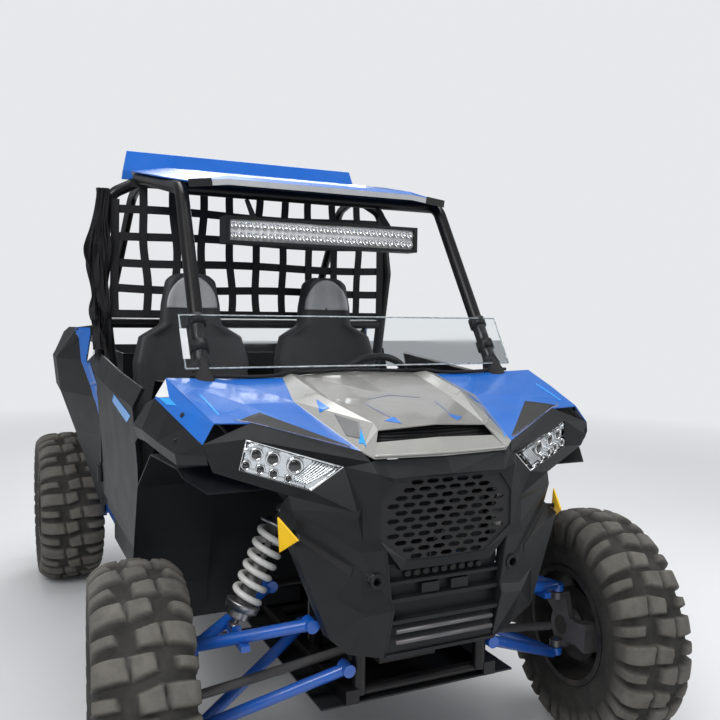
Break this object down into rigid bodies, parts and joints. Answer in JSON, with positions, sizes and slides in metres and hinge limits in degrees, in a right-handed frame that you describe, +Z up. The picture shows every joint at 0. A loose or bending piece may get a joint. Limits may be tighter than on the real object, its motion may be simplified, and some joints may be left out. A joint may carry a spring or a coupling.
{
  "type": "side by side utv",
  "caption": "Two-seat off-road side by side with roll cage, roof, light bar, half screen, steered front wheels and rear-hinged half doors.",
  "frame": {"origin": "on the ground under the middle of the vehicle box, at the middle of the wheelbase", "axes": "+Y to the rear, +X to the vehicle's left, +Z up"},
  "size_m": [1.753, 3.0375, 2.05],
  "materials": {
    "amber": "gloss",
    "bare_steel": "satin",
    "black_tube": "gloss",
    "body_blue": "gloss",
    "dark_plastic": "satin",
    "engine_grey": "matte",
    "frame_blue": "gloss",
    "hood_silver": "satin",
    "knuckle_metal": "satin",
    "lamp_lens": "gloss",
    "red_lens": "gloss",
    "rim_black": "satin",
    "screen_clear": "gloss",
    "seat_cover": "satin",
    "shock_white": "gloss",
    "tyre_rubber": "matte",
    "webbing": "matte"
  },
  "bodies": {
    "chassis": {"cab_tub": "dark_plastic", "cage_front": "black_tube", "cage_rear": "black_tube", "cargo_bed": "dark_plastic", "dash": "dark_plastic", "driveline": "engine_grey", "engine_block": "engine_grey", "exhaust": "bare_steel", "frame_rails": "black_tube", "front_fascia": "dark_plastic", "front_fenders": "dark_plastic", "front_frame": "black_tube", "front_liners": "dark_plastic", "grille_mesh": "dark_plastic", "headlamps": "lamp_lens", "hood": "hood_silver", "light_bar": "dark_plastic", "rear_bumper": "black_tube", "rear_fenders": "dark_plastic", "rear_links": "frame_blue", "rear_net": "webbing", "rear_wing": "body_blue", "roof_panel": "body_blue", "seats": "seat_cover", "shocks": "shock_white", "side_net_bundle": "webbing", "side_reflectors": "amber", "skid_plate": "dark_plastic", "steering_column": "bare_steel", "suspension_arms": "frame_blue", "tail_lamps": "red_lens", "windshield": "screen_clear"},
    "wheel_fl": {"rim_fl": "rim_black", "tyre_fl": "tyre_rubber"},
    "wheel_fr": {"rim_fr": "rim_black", "tyre_fr": "tyre_rubber"},
    "wheel_rl": {"rim_rl": "rim_black", "tyre_rl": "tyre_rubber"},
    "wheel_rr": {"rim_rr": "rim_black", "tyre_rr": "tyre_rubber"},
    "knuckle_left": {"knuckle_fl": "knuckle_metal"},
    "knuckle_right": {"knuckle_fr": "knuckle_metal"},
    "steering_rods": {"tie_rods": "bare_steel"},
    "hand_wheel": {"steering_wheel": "dark_plastic"},
    "left_door": {"door_left": "dark_plastic"},
    "right_door": {"door_right": "dark_plastic"}
  },
  "joints": [
    {"name": "wheel_rl_spin", "type": "hinge", "parent": "chassis", "child": "wheel_rl", "pos_m": [0.7, 1.143, 0.3685], "axis": [1, 0, 0], "continuous": true},
    {"name": "wheel_rr_spin", "type": "hinge", "parent": "chassis", "child": "wheel_rr", "pos_m": [-0.7, 1.143, 0.3685], "axis": [1, 0, 0], "continuous": true},
    {"name": "steer_left", "type": "hinge", "parent": "chassis", "child": "knuckle_left", "pos_m": [0.6, -1.143, 0.3685], "axis": [0, 0, 1], "range_deg": [-25, 35]},
    {"name": "steer_right", "type": "hinge", "parent": "chassis", "child": "knuckle_right", "pos_m": [-0.6, -1.143, 0.3685], "axis": [0, 0, 1], "range_deg": [-25, 35]},
    {"name": "wheel_fl_spin", "type": "hinge", "parent": "knuckle_left", "child": "wheel_fl", "pos_m": [0.73449, -1.15477, 0.3685], "axis": [0.9962, -0.0872, 0], "continuous": true},
    {"name": "wheel_fr_spin", "type": "hinge", "parent": "knuckle_right", "child": "wheel_fr", "pos_m": [-0.73449, -1.13123, 0.3685], "axis": [0.9962, -0.0872, 0], "continuous": true},
    {"name": "rack_slide", "type": "slide", "parent": "chassis", "child": "steering_rods", "axis": [1, 0, 0], "range_m": [-0.0734, 0.0524]},
    {"name": "column_turn", "type": "hinge", "parent": "chassis", "child": "hand_wheel", "pos_m": [0.3, -0.33, 1.059], "axis": [0, 0.866, 0.5], "range_deg": [-225, 315]},
    {"name": "door_left_swing", "type": "hinge", "parent": "chassis", "child": "left_door", "pos_m": [0.668, 0.072, 0.9], "axis": [0, 0, 1], "range_deg": [0, 65]},
    {"name": "door_right_swing", "type": "hinge", "parent": "chassis", "child": "right_door", "pos_m": [-0.668, 0.072, 0.9], "axis": [0, 0, -1], "range_deg": [0, 65]}
  ],
  "couplings": [
    {"joint": "steer_right", "follows": "steer_left", "ratio": 1},
    {"joint": "rack_slide", "follows": "steer_left", "m_per_rad": -0.12},
    {"joint": "column_turn", "follows": "steer_left", "ratio": 9}
  ]
}
